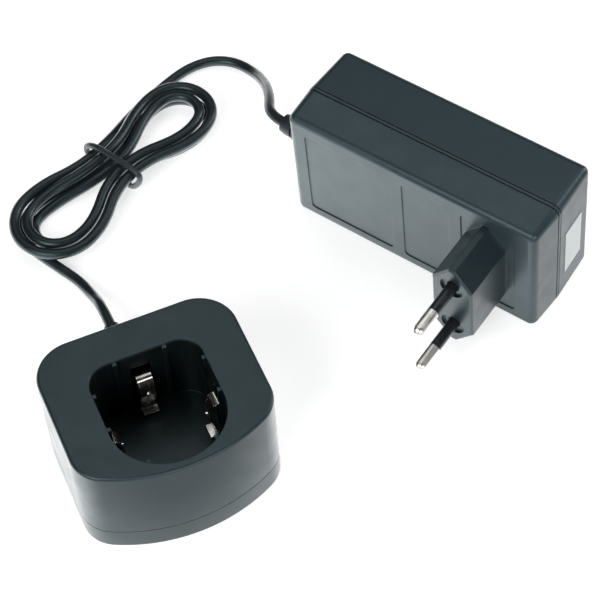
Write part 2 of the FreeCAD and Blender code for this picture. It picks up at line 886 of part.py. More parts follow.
def flange_seat(made, name):
    """Room behind the wall for the flange of the cord's boot."""
    seat = sketch(made, name, "YZ_Plane", a_wall)
    circle(seat, 0.0, relief_height, S("adapter_flange_radius") + S("fit_gap"))
    pocket(made, seat, S("relief_flange") + S("fit_gap") * 2, True)


def main_posts():
    margin = S("main_board_margin") + 4.0
    low = S("main_board_bottom") + 4.0
    xs = (margin, length - margin)
    return [(x, z) for x in xs for z in (low, height - low)]


def make_back_shell():
    made = body("adapter_back_shell")
    outer = sketch(made, "back_outline", "XZ_Plane")
    shell_outline(outer)
    pad(made, outer, S("back_depth"), True, -draft)
    back = value(S("back_depth"))
    round_edges(made, S("adapter_rounding"), lambda edge: flat_at(edge, 1, back))

    hollow = sketch(made, "back_hollow", "XZ_Plane")
    shell_outline(hollow, a_wall)
    pocket(made, hollow, S("back_depth") - a_wall, False, -draft)

    tongue = sketch(made, "back_tongue", "XZ_Plane", -0.3)
    shell_outline(tongue, a_wall - 0.15)
    shell_outline(tongue, a_wall + S("tongue_width"))
    pad(made, tongue, 0.3)
    reach = sketch(made, "tongue_reach", "XZ_Plane")
    shell_outline(reach, a_wall + S("fit_gap"))
    shell_outline(reach, a_wall + S("tongue_width"))
    pad(made, reach, S("tongue_height"))

    notch = sketch(made, "back_relief_notch", "YZ_Plane", -1.0)
    circle(notch, 0.0, relief_height, S("adapter_relief_root_radius") + S("fit_gap"))
    pocket(made, notch, a_wall + S("tongue_width") + 2.0, True)
    flange_seat(made, "back_flange_seat")
    node(made, "adapter_back_shell", ADAPTER)


def make_pins():
    face = -N("front_depth") - N("plug_length")
    tip = face - N("pin_length")
    inner = -N("front_depth") + N("adapter_wall") + N("pin_inside")
    for name, side in (("upper", 1), ("lower", -1)):
        z = N("plug_z") + side * N("pin_pitch") / 2
        r, neck = N("pin_radius"), N("sleeve_neck_radius")
        sleeve_end = face - N("sleeve_length")
        profile = [
            V(0, inner, 0), V(r, inner, 0), V(r, face + 1.5, 0), V(neck, face + 1.5, 0),
            V(neck, sleeve_end, 0), V(r, sleeve_end, 0), V(r, tip + r, 0),
        ]
        edges = [Part.LineSegment(profile[k], profile[k + 1]).toShape() for k in range(6)]
        low = math.sqrt(0.5) * r
        edges.append(Part.Arc(profile[6], V(low, tip + r - low, 0), V(0, tip, 0)).toShape())
        edges.append(Part.LineSegment(V(0, tip, 0), profile[0]).toShape())
        pin = Part.Face(Part.Wire(edges)).revolve(V(0, 0, 0), V(0, 1, 0), 360)
        pin.translate(V(N("plug_x"), 0, z))
        solid(f"plug_pin_{name}", pin, ADAPTER)
        at = V(N("plug_x"), face + 1.5, z)
        run = face + 1.5 - sleeve_end
        tubular = Part.makeCylinder(N("sleeve_radius"), run, at, V(0, -1, 0))
        bore = Part.makeCylinder(neck, run, at, V(0, -1, 0))
        solid(f"pin_sleeve_{name}", tubular.cut(bore), ADAPTER)


def make_adapter_inside():
    front = S("main_board_front")
    margin, low = S("main_board_margin"), S("main_board_bottom")
    board = S("main_board_thickness")
    block("main_board", margin, -front, low, length - margin * 2, board, height - low * 2, ADAPTER)
    face = -front + board
    out = V(0, 1, 0)
    sink, sink_deep = S("sink_thickness"), S("sink_depth")
    thick, deep, wide = S("transistor_thickness"), S("transistor_depth"), S("transistor_width")
    can, can_deep = S("output_can_radius"), S("output_can_depth")
    # Places are shares of the adapter's length and height, so the parts keep apart if it changes.
    fuse = (length * 0.888, face + S("fuse_radius"), height * 0.617)
    drum("input_fuse", *fuse, S("fuse_radius"), S("fuse_length"), V(0, 0, 1), ADAPTER)
    bridge = (S("bridge_width"), S("bridge_depth"), S("bridge_height"))
    block("bridge_rectifier", length * 0.86, face, height * 0.17, *bridge, ADAPTER)
    choke = (S("line_choke_radius"), S("line_choke_depth"))
    drum("line_choke", length * 0.786, face, height * 0.532, *choke, out, ADAPTER)
    bulk = (S("bulk_radius"), S("bulk_depth"))
    drum("bulk_capacitor", length * 0.763, face, height * 0.266, *bulk, out, ADAPTER)
    tall = S("switch_sink_height")
    block("switch_heatsink", length * 0.672, face, height * 0.277, sink, sink_deep, tall, ADAPTER)
    left = length * 0.672 - thick
    block("switch_transistor", left, face, height * 0.383, thick, deep, wide, ADAPTER)
    coupler = (S("opto_width"), S("opto_depth"), S("opto_height"))
    block("optocoupler", length * 0.467, face, height * 0.14, *coupler, ADAPTER)
    disc = S("ceramic_radius")
    spot = (length * 0.478, face + disc, height * 0.813)
    drum("interference_capacitor", *spot, disc, S("ceramic_thickness"), V(1, 0, 0), ADAPTER)
    level = height * 0.702
    drum("output_capacitor_left", length * 0.216, face, level, can, can_deep, out, ADAPTER)
    drum("output_capacitor_right", length * 0.325, face, level, can, can_deep, out, ADAPTER)
    tall = S("output_sink_height")
    block("output_heatsink", length * 0.353, face, height * 0.17, sink, sink_deep, tall, ADAPTER)
    left = length * 0.353 - thick
    block("output_diode", left, face, height * 0.234, thick, deep, wide, ADAPTER)
    spot = (length * 0.205, face, height * 0.415)
    drum("output_choke", *spot, can, S("output_choke_depth"), out, ADAPTER)
    make_transformer(value(face))
    wires = []
    for side in (-1, 1):
        z = N("plug_z") + side * N("pin_pitch") / 2
        start = -N("front_depth") + N("adapter_wall") + N("pin_inside")
        run = -N("main_board_front") - start
        wires.append(Part.makeCylinder(0.8, run, V(N("plug_x"), start, z), V(0, 1, 0)))
    solid("mains_leads", Part.Compound(wires), ADAPTER)


def upright_box(centre, width, low, high, tall):
    """A box about a centre in X and Z, between two depths in Y."""
    corner = V(centre.x - width / 2, low, centre.z - tall / 2)
    return Part.makeBox(width, high - low, tall, corner)


def make_transformer(face):
    """A core with two windows, a bobbin on its middle leg and the winding between the flanges."""
    wide, deep, tall = N("core_width"), N("core_depth"), N("core_height")
    leg, post, play = N("core_leg"), N("core_post"), N("fit_gap") / 2
    centre = V(value(length) * 0.507, 0, value(height) * 0.511)
    low = face + N("core_lift")
    high = low + deep
    window = (wide - 2 * leg - post) / 2
    opening = tall - 2 * leg
    core = upright_box(centre, wide, low, high, tall)
    for side in (-1, 1):
        middle = centre + V(side * (post + window) / 2, 0, 0)
        core = core.cut(upright_box(middle, window, low - 1, high + 1, opening))
    solid("transformer_core", core, ADAPTER)

    skin, flange = N("bobbin_wall"), N("bobbin_flange")
    reach = wide - 2 * leg - 4 * play
    run = opening - 4 * play
    overhang = skin + N("winding_depth")
    bobbin = upright_box(centre, post + 2 * skin, low - skin, high + skin, run)
    for side in (-1, 1):
        end = centre + V(0, 0, side * (run - flange) / 2)
        bobbin = bobbin.fuse(upright_box(end, reach, face, high + overhang + play, flange))
    bobbin = bobbin.cut(upright_box(centre, post + 2 * play, low - play, high + play, run + 1))
    solid("transformer_bobbin", bobbin.removeSplitter(), ADAPTER)

    wound = upright_box(centre, reach - 2 * play, low - overhang, high + overhang, run - 2 * flange - 2 * play)
    hole = upright_box(
        centre, post + 2 * skin + 2 * play, low - skin - play, high + skin + play, run
    )
    solid("transformer_winding", wound.cut(hole), ADAPTER)


def make_adapter_relief():
    flange = N("relief_flange")
    made, end = boot(
        flange,
        N("adapter_wall"),
        N("adapter_relief_length"),
        N("adapter_flange_radius"),
        N("adapter_relief_root_radius"),
        N("adapter_relief_tip_radius"),
        3,
    )
    start = N("adapter_wall") + flange + N("fit_gap") / 2
    level = N("cord_level")
    made.Placement = FreeCAD.Placement(V(start, 0, level), FreeCAD.Rotation(V(0, 0, 1), 90))
    solid("adapter_strain_relief", made, ADAPTER)
    wires = []
    board = -N("main_board_front") + N("main_board_thickness")
    for side in (-1.0, 1.0):
        z = level + side
        reach = N("main_board_margin") + 4.6
        points = [V(start, 0, z), V(reach - 2.4, 0, z), V(reach, -1.8, z), V(reach, board, z)]
        wires.append(tube(points, 0.6)[0])
    solid("output_leads", Part.Compound(wires), ADAPTER)
    return ADAPTER.multVec(V(start - end, 0, level))


def make_sticker():
    """A bare rating plate on the right end of the back shell, lying on the drafted face."""
    made = Part.makeBox(0.15, N("sticker_width"), N("sticker_height"))
    place = N("sticker_from_seam")
    lean = math.tan(math.radians(N("adapter_draft")))
    made.Placement = FreeCAD.Placement(
        V(N("adapter_length") - place * lean, place, N("sticker_bottom")),
        FreeCAD.Rotation(V(0, 0, 1), N("adapter_draft")),
    )
    solid("rating_plate", made, ADAPTER)


make_front_shell()
make_back_shell()
make_pins()
make_adapter_inside()
adapter_exit = make_adapter_relief()
make_sticker()

# Cord

cord_radius = N("cord_diameter") / 2
HANK = FreeCAD.Placement(
    V(N("hank_x"), N("hank_y"), 0), FreeCAD.Rotation(V(0, 0, 1), N("hank_yaw"))
)


def arc_edge(start, control, end):
    """The arc that leaves start towards control and comes into end from it."""
    chord = (start + end) * 0.5
    height = (control - chord).Length
    half_chord = (end - start).Length / 2
    if height < 1e-6:
        return Part.LineSegment(start, end).toShape()
    sag = half_chord * math.tan(math.atan2(height, half_chord) / 2)
    middle = chord + (control - chord) * (sag / height)
    return Part.Arc(start, middle, end).toShape()


def biarc(start, way, end, way_end):
    """Two tangent arcs from one point and direction to another."""
    across = end - start
    both = way + way_end
    spread = 1 - way.dot(way_end)
    along = across.dot(both)
    if spread < 1e-9:
        reach = across.dot(across) / (2 * along)
    else:
        root = math.sqrt(along ** 2 + 2 * spread * across.dot(across))
        reach = (root - along) / (2 * spread)
    first = start + way * reach
    second = end - way_end * reach
    middle = (first + second) * 0.5
    return [arc_edge(start, first, middle), arc_edge(middle, second, end)]


def hank_stations():
    """Points and directions of the bundled loops: a spiral in, a climb, a spiral out, a last run."""
    pitch = N("hank_pitch")
    low = cord_radius + N("fit_gap") / 10
    high = low + N("hank_layer")
    lift = 2 * N("tie_radius") + 0.1
    turns = (1.0, 0.5, 0.0, 0.5, 1.0, 1.5, 2.0)
    last = len(turns) - 1
    wide = [N("hank_inner") + k * pitch for k in turns]
    tight = [N("hank_waist") + k * pitch for k in turns]
    levels = [(low, low)] * 2 + [(low, high)] + [(high, high)] * 3 + [(high, low)]
    reach = N("hank_length") / 2 - cord_radius
    right = reach - (wide[last - 2] + wide[last - 1]) / 2
    left = reach - (wide[last - 1] + wide[last]) / 2
    first = wide[0] + pitch / 4
    apex = -left - first
    middle = wide[0] - first
    stations = [
        (V(apex, middle - 2 * cord_radius, low), V(0, 1, 0)),
        (V(apex, middle, low), V(0, 1, 0)),
    ]
    for k in range(last + 1):
        side = 1 if k % 2 == 0 else -1
        away = V(side, 0, 0)
        start, end = (-left, right) if side > 0 else (right, -left)
        z0, z1 = levels[k]
        slope = 1.5 * (z1 - z0) / (left + right)
        climb = V(side, 0, slope)
        climb.normalize()
        stations.append((V(start, side * wide[k], z0), away))
        stations.append((V(0, side * tight[k], (z0 + z1) / 2 + lift), climb))
        stations.append((V(end, side * wide[k], z1), away))
        if k < last:
            size = (wide[k] + wide[k + 1]) / 2
            centre = side * (wide[k] - wide[k + 1]) / 2
            stations.append((V(end + side * size, centre, z1), V(0, -side, 0)))
    stations.append((V(right + 2 * cord_radius, wide[last], low), V(1, 0, 0)))
    return stations


def self_gap(edges, step, skip):
    """The least distance between stretches of the line that are further apart than skip along it."""
    points = []
    for edge in edges:
        count = max(2, int(edge.Length / step))
        points += edge.discretize(count)[:-1]
    least = 1e9
    hop = int(skip / step)
    for i in range(0, len(points)):
        for j in range(i + hop, len(points)):
            least = min(least, (points[i] - points[j]).Length)
    return least - 2 * cord_radius


def make_hank():
    stations = hank_stations()
    edges = []
    for (start, way), (end, way_end) in zip(stations, stations[1:]):
        edges += biarc(start, way, end, way_end)
    spine = Part.Wire(edges)
    ring = Part.Wire(Part.Circle(stations[0][0], stations[0][1], cord_radius).toShape())
    made = spine.makePipeShell([ring], True, False)
    ratio = made.Volume / (math.pi * cord_radius ** 2 * spine.Length)
    tightest = min(edge.Curve.Radius for edge in edges if hasattr(edge.Curve, "Radius"))
    print(
        f"hank: length {spine.Length:.1f}, volume ratio {ratio:.4f}, tightest radius {tightest:.1f}, "
        f"least gap to itself {self_gap(edges, 1.2, 14.0):.2f}"
    )
    solid("cord_hank", made, HANK)
    start, end = stations[0][0], stations[-1][0]
    turn = HANK.Rotation
    return (HANK.multVec(start), turn.multVec(stations[0][1]), HANK.multVec(end),
            turn.multVec(stations[-1][1]), spine.Length)


def make_tie():
    """A coated wire round the waist of the hank."""
    pitch, thick = N("hank_pitch"), N("tie_radius")
    low = -(N("hank_waist") + 1.5 * pitch) - cord_radius - thick - 0.1
    high = N("hank_waist") + 2.0 * pitch + cord_radius + thick + 0.1
    bottom = thick
    top = 2 * thick + 0.1 + 2 * cord_radius + N("hank_layer") + thick + 0.1
    round_off = 2.4
    lines = []
    corners = [(low, bottom), (high, bottom), (high, top), (low, top)]
    for k in range(4):
        here, there = corners[k], corners[(k + 1) % 4]
        span = V(0, there[0] - here[0], there[1] - here[1])
        step = V(span)
        step.normalize()
        a = V(0, here[0], here[1]) + step * round_off
        b = V(0, there[0], there[1]) - step * round_off
        beyond = corners[(k + 2) % 4]
        after = V(0, beyond[0] - there[0], beyond[1] - there[1])
        after.normalize()
        lines.append(Part.LineSegment(a, b).toShape())
        corner = V(0, there[0], there[1])
        lines.append(arc_edge(b, corner, corner + after * round_off))
    spine = Part.Wire(lines)
    start = lines[0].Vertexes[0].Point
    ring = Part.Wire(Part.Circle(start, V(0, 1, 0), thick).toShape())
    made = spine.makePipeShell([ring], True, False)
    solid("cord_tie", made, HANK)


def make_lead(name, points):
    made, run, radii, ratio = tube(points, cord_radius)
    print(f"{name}: length {run:.1f}, volume ratio {ratio:.4f}, radii", [round(r, 1) for r in radii])
    solid(name, made)
    return run


def make_cord():
    hank_start, start_way, hank_end, end_way, total = make_hank()
    make_tie()
    exit_z = value(relief_z)
    cradle_points = [
        V(0, cradle_exit_y, exit_z),
        V(0, cradle_exit_y + 8.0, exit_z),
        V(-0.7, 62.5, 3.2),
        V(-1.4, 72.0, 1.75),
        hank_start - start_way * 6.0,
        hank_start,
    ]
    total += make_lead("cord_to_cradle", cradle_points)
    out = ADAPTER.Rotation.multVec(V(-1, 0, 0))
    adapter_points = [
        hank_end,
        hank_end + end_way * 8.0,
        V(61.5, 139.9, 1.72),
        V(69.8, 139.6, 1.72),
        V(77.0, 135.9, 1.72),
        V(81.0, 128.7, 1.9),
        V(80.4, 120.6, 5.2),
        V(76.6, 114.2, 11.5),
        V(69.9, 108.2, 17.2),
        adapter_exit + out * 11.5,
        adapter_exit,
    ]
    total += make_lead("cord_to_adapter", adapter_points)
    print(f"cord: {total:.1f} in all")


make_cord()


def check():
    doc.recompute()
    faults = [thing.Name for thing in doc.Objects if {"Invalid", "Error"} & set(thing.State)]
    for thing in nodes:
        shape = thing.Shape
        if shape.isNull() or not shape.isValid() or not shape.Solids:
            faults.append(thing.Label)
    if faults:
        raise ValueError("failed: " + ", ".join(faults))


check()
for thing in nodes:
    thing.Shape.exportStep(f"parts/{thing.Label}.step")
    box = thing.Shape.optimalBoundingBox(False, False)
    print(
        f"{thing.Label:24s} {len(thing.Shape.Solids)} solids {thing.Shape.Volume:9.1f} mm3 "
        f"x {box.XMin:.1f}..{box.XMax:.1f} y {box.YMin:.1f}..{box.YMax:.1f} z {box.ZMin:.1f}..{box.ZMax:.1f}"
    )
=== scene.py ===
import json
import math

import bpy
from mathutils import Matrix, Vector

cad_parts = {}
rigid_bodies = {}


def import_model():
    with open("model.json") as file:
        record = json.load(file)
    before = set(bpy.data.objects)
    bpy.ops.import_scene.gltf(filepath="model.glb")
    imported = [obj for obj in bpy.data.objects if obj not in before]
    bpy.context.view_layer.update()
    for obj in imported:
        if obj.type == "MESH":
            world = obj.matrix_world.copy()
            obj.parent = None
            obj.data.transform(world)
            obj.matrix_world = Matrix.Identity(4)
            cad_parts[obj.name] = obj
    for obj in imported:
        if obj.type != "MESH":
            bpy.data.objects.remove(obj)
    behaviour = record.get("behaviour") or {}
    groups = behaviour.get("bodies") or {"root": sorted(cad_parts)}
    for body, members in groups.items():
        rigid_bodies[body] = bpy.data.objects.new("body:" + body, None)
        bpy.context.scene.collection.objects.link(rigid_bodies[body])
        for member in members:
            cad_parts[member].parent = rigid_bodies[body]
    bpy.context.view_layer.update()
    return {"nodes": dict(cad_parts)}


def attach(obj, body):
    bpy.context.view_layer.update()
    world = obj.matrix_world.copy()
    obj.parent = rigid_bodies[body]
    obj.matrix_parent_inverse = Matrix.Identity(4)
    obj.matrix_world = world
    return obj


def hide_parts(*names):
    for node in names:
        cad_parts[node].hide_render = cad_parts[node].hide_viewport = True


# Battery charger: a cradle with an open socket, a mains adapter and the cord tied in a hank.
# Route points are written in millimetres and turned into metres by MM. Materials work in metres.

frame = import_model()
MM = 0.001
BODY = "charger"
objects = bpy.data.objects


# Camera

camera_data = bpy.data.cameras.new("camera")
camera_data.lens = 134.38
camera_data.sensor_width = 36.0
camera_data.clip_start = 0.01
camera_data.clip_end = 20.0
camera = objects.new("camera", camera_data)
right = Vector((0.9217, -0.3852, -0.0462)).normalized()
ahead = Vector((0.196, 0.5652, -0.8013)).normalized()
up = right.cross(ahead).normalized()
right = ahead.cross(up).normalized()
turn = Matrix((right, up, -ahead)).transposed().to_4x4()
camera.matrix_world = Matrix.Translation(Vector((-76.57, -348.15, 546.74)) * MM) @ turn
bpy.context.scene.collection.objects.link(camera)
bpy.context.scene.camera = camera


# Cord

CORD = 3.4
TIE_WIRE = 2.0
# The hank: its middle and its turn about Z, the heights of its two levels, the middles of its end
# loops, the innermost pass at the ends and at the waist, and the distance from turn to turn.
HANK_X, HANK_Y, HANK_YAW = 22.8, 106.2, 27.0
LOW, HIGH = 1.72, 5.57
RIGHT_END, LEFT_END = 28.68, 26.62
INNER_WIDE, INNER_WAIST, PITCH = 6.5, 1.0, 4.1
# Where a pass starts to widen and to narrow, as shares of the way from the waist to the loop.
OUTER_SHARE, WAIST_SHARE = 0.745, 0.255
# How far the loops lean out of line, and the share of it that reaches the passes.
LEAN, LEAN_SHARE = 1.2, 0.7


def hank_place(x, y, z):
    """A point of the hank, from its middle and along its length, in the row's frame."""
    spin = math.radians(HANK_YAW)
    along = x * math.cos(spin) - y * math.sin(spin)
    across = x * math.sin(spin) + y * math.cos(spin)
    return Vector((HANK_X + along, HANK_Y + across, z))


def end_loop(points, middle_x, middle_y, size, first, last, z):
    """Four points round one end of the hank, from one angle to another, in degrees."""
    step = (last - first) / 4
    grow = size / math.cos(math.radians(step / 2))
    for k in range(4):
        angle = math.radians(first + step * (k + 0.5))
        points.append((middle_x + grow * math.cos(angle), middle_y + grow * math.sin(angle), z))


def hank_points():
    """The bundled loops: a spiral in on the ground, a climb, a spiral out on top of it."""
    turns = (1.0, 0.5, 0.0, 0.5, 1.0, 1.5, 2.0)
    wide = [INNER_WIDE + k * PITCH for k in turns]
    tight = [INNER_WAIST + k * PITCH for k in turns]
    levels = [(LOW, LOW)] * 2 + [(LOW, HIGH)] + [(HIGH, HIGH)] * 3 + [(HIGH, LOW)]
    lean = {("right", LOW): -LEAN, ("right", HIGH): LEAN, ("left", LOW): LEAN, ("left", HIGH): -LEAN}
    points = []
    first = wide[0] + PITCH / 4
    grow = first / math.cos(math.radians(22.5))
    centre = wide[0] - first + lean["left", LOW]
    for angle in (157.5, 112.5):
        a = math.radians(angle)
        points.append((-LEFT_END + grow * math.cos(a), centre + grow * math.sin(a), LOW))
    for k, (z0, z1) in enumerate(levels):
        side = 1 if k % 2 == 0 else -1
        start, end = (-LEFT_END, RIGHT_END) if side > 0 else (RIGHT_END, -LEFT_END)
        near, far = ("left", "right") if side > 0 else ("right", "left")
        waist = (z0 + z1) / 2 + TIE_WIRE + 0.1
        points.append((start * OUTER_SHARE, side * wide[k] + LEAN_SHARE * lean[near, z0], z0))
        points.append((start * WAIST_SHARE, side * tight[k], waist))
        points.append((end * WAIST_SHARE, side * tight[k], waist))
        points.append((end * OUTER_SHARE, side * wide[k] + LEAN_SHARE * lean[far, z1], z1))
        if k + 1 < len(levels):
            size = (wide[k] + wide[k + 1]) / 2
            centre = side * (wide[k] - wide[k + 1]) / 2
            turn = (90, -90) if side > 0 else (270, 90)
            end_loop(points, end, centre + lean[far, z1], size, *turn, z1)
    return [hank_place(*p) for p in points]


TO_CRADLE = [
    (0, 46.1, 8.0),
    (0, 54.1, 8.0),
    (-0.3, 62.5, 3.2),
    (-2.2, 71.5, 1.75),
    (-6.4, 79.2, 1.72),
]
TO_ADAPTER = [
    (52.78, 137.19, 1.72),
    (61.5, 139.9, 1.72),
    (69.3, 139.3, 1.72),
    (75.6, 135.0, 1.72),
    (78.9, 127.5, 2.6),
    (78.6, 117.5, 8.0),
    (75.9, 105.5, 15.4),
    (71.15, 93.68, 20.47),
    (74.35, 88.6, 20.47),
]


def line(name, points, diameter, closed=False):
    """A round cord along a smooth line."""
    data = bpy.data.curves.new(name, "CURVE")
    data.dimensions = "3D"
    data.bevel_depth = diameter / 2 * MM
    data.bevel_resolution = 6
    data.use_fill_caps = True
    spline = data.splines.new("NURBS")
    spline.points.add(len(points) - 1)
    for point, place in zip(spline.points, points):
        point.co = (*(Vector(place) * MM), 1.0)
    spline.use_cyclic_u = closed
    spline.order_u = 3
    spline.use_endpoint_u = not closed
    spline.resolution_u = 8
    made = objects.new(name, data)
    bpy.context.scene.collection.objects.link(made)
    return made


cord = line("cord", TO_CRADLE + hank_points() + TO_ADAPTER, CORD)
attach(cord, BODY)
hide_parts("cord_to_cradle", "cord_hank", "cord_to_adapter")

# The tie's loop across the hank: each point's place across it and its height.
TIE = [
    (-5.0, 1.0),
    (1.5, 1.0),
    (8.4, 1.0),
    (12.4, 3.0),
    (12.9, 7.2),
    (8.6, 10.5),
    (2.0, 10.6),
    (-6.4, 10.6),
    (-10.9, 9.7),
    (-10.2, 5.6),
    (-7.4, 1.7),
]
TIE_SWAY = 0.25
tie_points = [hank_place(TIE_SWAY * math.sin(k), y, z) for k, (y, z) in enumerate(TIE)]
tie = line("tie", tie_points, TIE_WIRE, True)
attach(tie, BODY)
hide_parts("cord_tie")


# Materials


class Nodes:
    """A material's node tree, with short calls for the nodes that it uses."""

    def __init__(self, name):
        self.material = bpy.data.materials.new(name)
        self.material.use_nodes = True
        self.tree = self.material.node_tree
        self.shader = self.tree.nodes["Principled BSDF"]
        self.place = self.add("ShaderNodeTexCoord").outputs["Object"]

    def add(self, kind, **settings):
        node = self.tree.nodes.new(kind)
        for key, setting in settings.items():
            setattr(node, key, setting)
        return node

    def join(self, output, node, socket):
        self.tree.links.new(output, node.inputs[socket])

    def set(self, **numbers):
        for key, number in numbers.items():
            self.shader.inputs[key.replace("_", " ")].default_value = number

    def noise(self, scale, detail=3.0, rough=0.5, stretch=None):
        node = self.add("ShaderNodeTexNoise")
        node.inputs["Scale"].default_value = scale
        node.inputs["Detail"].default_value = detail
        node.inputs["Roughness"].default_value = rough
        if stretch:
            mapping = self.add("ShaderNodeMapping")
            mapping.inputs["Scale"].default_value = stretch
            self.join(self.place, mapping, "Vector")
            self.join(mapping.outputs["Vector"], node, "Vector")
        else:
            self.join(self.place, node, "Vector")
        return node.outputs["Fac"]

    def ramp(self, factor, low, high, start=0.3, end=0.7):
        node = self.add("ShaderNodeMapRange")
        node.inputs["From Min"].default_value = start
        node.inputs["From Max"].default_value = end
        node.inputs["To Min"].default_value = low
        node.inputs["To Max"].default_value = high
        self.join(factor, node, "Value")
        return node.outputs["Result"]

    def blend(self, factor, first, second):
        node = self.add("ShaderNodeMix", data_type="RGBA")
        for index, colour in ((6, first), (7, second)):
            if isinstance(colour, tuple):
                node.inputs[index].default_value = (*colour, 1.0)
            else:
                self.tree.links.new(colour, node.inputs[index])
        self.tree.links.new(factor, node.inputs[0])
        return node.outputs[2]

    def bump(self, heights, edge=0.0):
        """Bumps in order, each (height, strength, distance in mm), over softened edges."""
        normal = None
        if edge:
            soft = self.add("ShaderNodeBevel", samples=6)
            soft.inputs["Radius"].default_value = edge * MM
            normal = soft.outputs["Normal"]
        for height, strength, distance in heights:
            node = self.add("ShaderNodeBump")
            node.inputs["Strength"].default_value = strength
            node.inputs["Distance"].default_value = distance * MM
            self.join(height, node, "Height")
            if normal:
                self.join(normal, node, "Normal")
            normal = node.outputs["Normal"]
        if normal:
            self.join(normal, self.shader, "Normal")

    def math(self, operation, *values):
        """The result of one sum on outputs and numbers."""
        node = self.add("ShaderNodeMath", operation=operation)
        for index, number in enumerate(values):
            if isinstance(number, float):
                node.inputs[index].default_value = number
            else:
                self.join(number, node, index)
        return node.outputs["Value"]

    def along(self, output, way):
        """How far a position or a normal goes along a way."""
        node = self.add("ShaderNodeVectorMath", operation="DOT_PRODUCT")
        node.inputs[1].default_value = way
        self.join(self.add("ShaderNodeNewGeometry").outputs[output], node, 0)
        return node.outputs["Value"]

    def edges(self, size):
        """About 1 along the outer edges and 0 on flat faces."""
        soft = self.add("ShaderNodeBevel", samples=6)
        soft.inputs["Radius"].default_value = size * MM
        sharp = self.add("ShaderNodeNewGeometry").outputs["Normal"]
        node = self.add("ShaderNodeVectorMath", operation="DISTANCE")
        self.join(soft.outputs["Normal"], node, 0)
        self.join(sharp, node, 1)
        return node.outputs["Value"]


# Depths of the adapter, in metres along PLUG_WAY: its seam, the line beside it, the edge of its panels and
# the face that the plug stands on.
# Shade is painted in the seam, in the line beside it and on the panels' small walls.
PLUG_WAY = (-0.845, -0.5321, -0.0523)
SEAMS = ((-0.11092, 0.00017), (-0.10975, 0.00023))
PANEL_EDGE = (-0.0979, 0.00014)
PLUG_FACE = -0.0974
# The well of the cradle, where shade is painted, in metres: the middle and the half size on each axis. Its
# front is bowed.
WELL = ((0.0, 0.0178), (-0.0048, 0.0203), (0.0172, 0.0173))
WELL_BOW = -9.6
COOL = (0.72, 0.94, 1.0, 1.0)


def well_shade(m):
    """1 in the cradle's well, where shade is painted, and 0 elsewhere."""
    spot = m.add("ShaderNodeSeparateXYZ")
    m.join(m.add("ShaderNodeNewGeometry").outputs["Position"], spot, "Vector")
    x, y, z = spot.outputs
    bowed = m.math("MULTIPLY_ADD", m.math("MULTIPLY", x, x), WELL_BOW, y)
    x, y, z = [m.math("COMPARE", place, *WELL[k]) for k, place in enumerate((x, bowed, z))]
    return m.math("MULTIPLY", m.math("MULTIPLY", x, y), z)


def on_plug(m):
    return m.ramp(m.along("Position", PLUG_WAY), 0.0, 1.0, PLUG_FACE, PLUG_FACE + 0.0004)


def groove_shade(m):
    """1 in the adapter's seam, in the line beside it and on the small walls round its panels, where shade
    is painted.
    """
    depth = m.along("Position", PLUG_WAY)
    seams = m.math("MAXIMUM", *[m.math("COMPARE", depth, *seam) for seam in SEAMS])
    facing = m.math("ABSOLUTE", m.along("Normal", PLUG_WAY))
    walls = m.math("MULTIPLY", m.math("COMPARE", depth, *PANEL_EDGE), m.math("LESS_THAN", facing, 0.5))
    return m.math("MAXIMUM", seams, walls)


def moulded(name, colour, lighter, rough, grain, depth, edge=0.35, darker=()):
    """Moulded plastic with a spark-eroded grain, faint mottling, a painted highlight along its edges and
    the darker colours given in darker.
    """
    m = Nodes(name)
    m.set(Specular_Tint=COOL)
    fine = m.noise(grain, 2.0)
    broad = m.noise(45.0, 3.0)
    tone = m.blend(m.ramp(broad, 0.0, 1.0), colour, lighter)
    # Painted highlight: the edges are paler where light would catch them.
    highlight_colour = tuple(c * 1.9 + 0.012 for c in lighter)
    highlight_mask = m.ramp(m.edges(edge * 2), 0.0, 0.5, 0.25, 1.1)
    shade = m.blend(highlight_mask, tone, highlight_colour)
    for where, dark in darker:
        shade = m.blend(where(m), shade, dark)
    m.join(shade, m.shader, "Base Color")
    m.join(m.ramp(m.noise(160.0, 4.0), rough - 0.04, rough + 0.05), m.shader, "Roughness")
    m.bump([(fine, 0.5, depth), (m.noise(90.0, 2.0), 0.12, 0.05)], edge)
    return m.material


def metal(name, colour, dark, rough, scale, stretch, edge=0.1):
    """Plated metal with fine drawn lines and a little tarnish."""
    m = Nodes(name)
    m.set(Metallic=1.0)
    lines = m.noise(scale, 4.0, 0.6, stretch)
    patch = m.noise(220.0, 4.0)
    m.join(m.blend(m.ramp(patch, 0.0, 1.0, 0.35, 0.75), colour, dark), m.shader, "Base Color")
    m.join(m.ramp(lines, rough - 0.06, rough + 0.1), m.shader, "Roughness")
    m.bump([(lines, 0.25, 0.02)], edge)
    return m.material


def coated(name, colour, lighter, rough, sheen=0.0):
    """A soft vinyl skin with faint ripples along it."""
    m = Nodes(name)
    m.set(Specular_Tint=COOL)
    tone = m.noise(130.0, 3.0)
    m.join(m.blend(m.ramp(tone, 0.0, 1.0), colour, lighter), m.shader, "Base Color")
    m.join(m.ramp(m.noise(500.0, 3.0), rough - 0.05, rough + 0.07), m.shader, "Roughness")
    m.bump([(m.noise(700.0, 2.0), 0.25, 0.04), (m.noise(3000.0, 2.0), 0.2, 0.012)])
    return m.material


def simple(name, colour, lighter, rough, scale, metallic=0.0, depth=0.02):
    """A hidden part: mottled colour, uneven gloss and a fine bump."""
    m = Nodes(name)
    m.set(Metallic=metallic)
    m.join(m.blend(m.ramp(m.noise(scale, 3.0), 0.0, 1.0), colour, lighter), m.shader, "Base Color")
    m.join(m.ramp(m.noise(scale * 2, 2.0), rough - 0.08, rough + 0.08), m.shader, "Roughness")
    m.bump([(m.noise(scale * 6, 2.0), 0.3, depth)])
    return m.material


